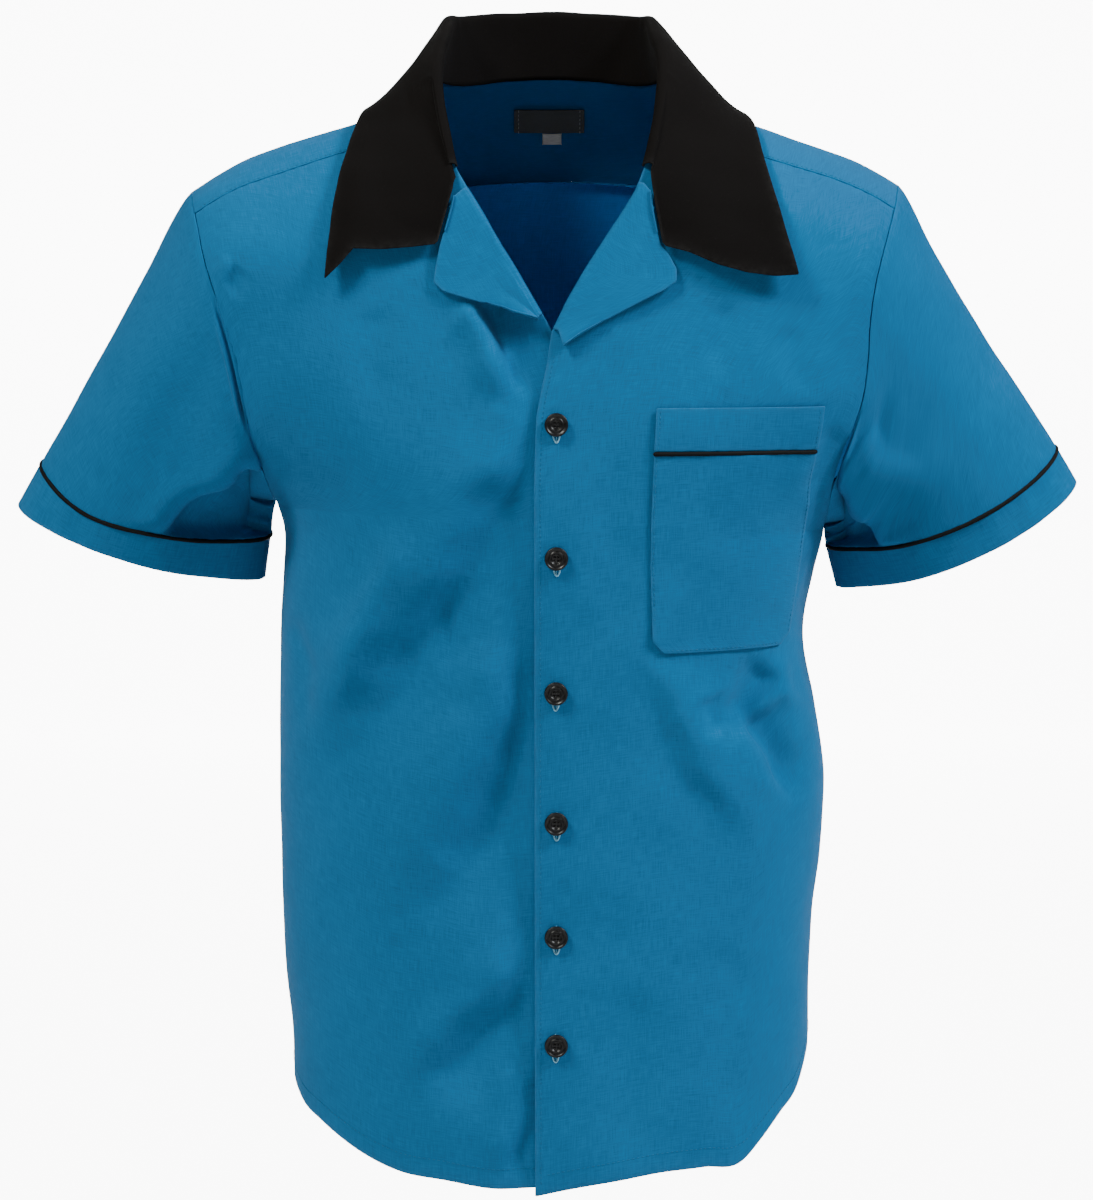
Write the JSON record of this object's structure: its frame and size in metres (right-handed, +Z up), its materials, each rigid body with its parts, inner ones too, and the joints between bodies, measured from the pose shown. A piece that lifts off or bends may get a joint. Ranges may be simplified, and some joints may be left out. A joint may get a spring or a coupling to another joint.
{
  "type": "bowling_shirt",
  "caption": "Short-sleeved camp-collar button shirt worn on the upper body, with a notched open neck, piped cuffs, a piped chest pocket and a shirt-tail hem.",
  "frame": {"origin": "centre of the base of the wearer's neck, between the two shoulders, which hold the shirt up", "axes": "+X to the wearer's left, +Y to the wearer's back, +Z up; the front faces -Y"},
  "size_m": [0.7055, 0.2594, 0.7714],
  "materials": {
    "turquoise_cotton": "plain woven cotton, matt",
    "black_collar_cotton": "plain woven cotton, interfaced, matt",
    "black_piping": "bias-cut cord piping, slight sheen",
    "black_button": "polished resin",
    "grey_label": "woven satin label, bare",
    "pale_size_label": "woven tab, bare"
  },
  "bodies": {
    "root": {"back": "turquoise_cotton", "yoke": "turquoise_cotton", "front_right": "turquoise_cotton", "front_left": "turquoise_cotton", "lapel_right": "turquoise_cotton", "lapel_left": "turquoise_cotton", "collar": "black_collar_cotton", "sleeve_right": "turquoise_cotton", "sleeve_left": "turquoise_cotton", "cuff_right": "turquoise_cotton", "cuff_left": "turquoise_cotton", "cuff_piping_right": "black_piping", "cuff_piping_left": "black_piping", "pocket": "turquoise_cotton", "pocket_welt": "turquoise_cotton", "pocket_piping": "black_piping", "button_1": "black_button", "button_2": "black_button", "button_3": "black_button", "button_4": "black_button", "button_5": "black_button", "button_6": "black_button", "neck_label": "grey_label", "size_label": "pale_size_label"}
  },
  "joints": []
}
